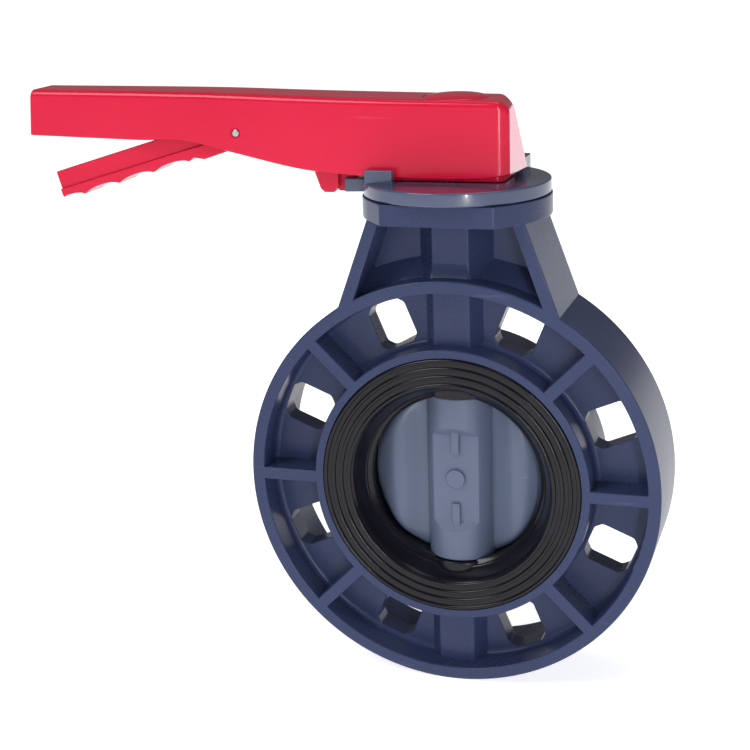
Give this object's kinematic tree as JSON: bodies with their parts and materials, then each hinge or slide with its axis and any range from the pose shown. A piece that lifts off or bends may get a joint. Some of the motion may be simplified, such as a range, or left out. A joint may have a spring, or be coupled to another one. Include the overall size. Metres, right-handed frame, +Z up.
{
  "type": "butterfly valve",
  "caption": "Lever-operated wafer butterfly valve in moulded plastic, with a ribbed ring body, rubber seat liner, disc on a through stem, notched index plate and squeeze-to-release lever.",
  "frame": {"origin": "centre of the bore on the valve's mid plane", "axes": "+Z up along the stem towards the lever, Y along the pipe, -X along the lever with the disc closed"},
  "size_m": [0.3591, 0.1104, 0.3261],
  "materials": {
    "body_plastic": "satin moulded, dark slate blue",
    "plate_plastic": "polished moulding, slate grey",
    "disc_plastic": "satin moulded, light slate",
    "rubber": "black moulded rubber with fine ridges",
    "red_plastic": "glossy red moulding",
    "bushing_plastic": "natural low-friction plastic",
    "steel": "brushed stainless"
  },
  "bodies": {
    "casing": {"valve_body": "body_plastic", "seat_liner": "rubber", "lower_stem_bushing": "bushing_plastic", "upper_stem_bushing": "bushing_plastic", "neck_bushing": "bushing_plastic", "stem_retainer": "steel", "index_plate": "plate_plastic", "plate_screw_1": "steel", "plate_screw_2": "steel", "plate_screw_3": "steel", "plate_screw_4": "steel"},
    "rotor": {"stem": "steel", "disc": "disc_plastic", "disc_seal_upper": "rubber", "disc_seal_lower": "rubber", "stem_oring_lower": "rubber", "stem_oring_upper": "rubber", "lever": "red_plastic", "lever_washer": "steel", "lever_bolt": "steel", "lever_cap": "red_plastic", "trigger_pin": "steel", "trigger_spring": "steel"},
    "latch": {"trigger": "red_plastic"}
  },
  "joints": [
    {"name": "lever_turn", "type": "hinge", "parent": "casing", "child": "rotor", "pos_m": [0, 0, 0.18], "axis": [0, 0, 1], "range_deg": [-90, 0]},
    {"name": "trigger_squeeze", "type": "hinge", "parent": "rotor", "child": "latch", "pos_m": [-0.1185, 0, 0.1891], "axis": [0, 1, 0], "range_deg": [0, 12], "stiffness_Nm_per_rad": 0.2, "springref_deg": -28.65, "deforming": ["trigger_spring"]}
  ]
}
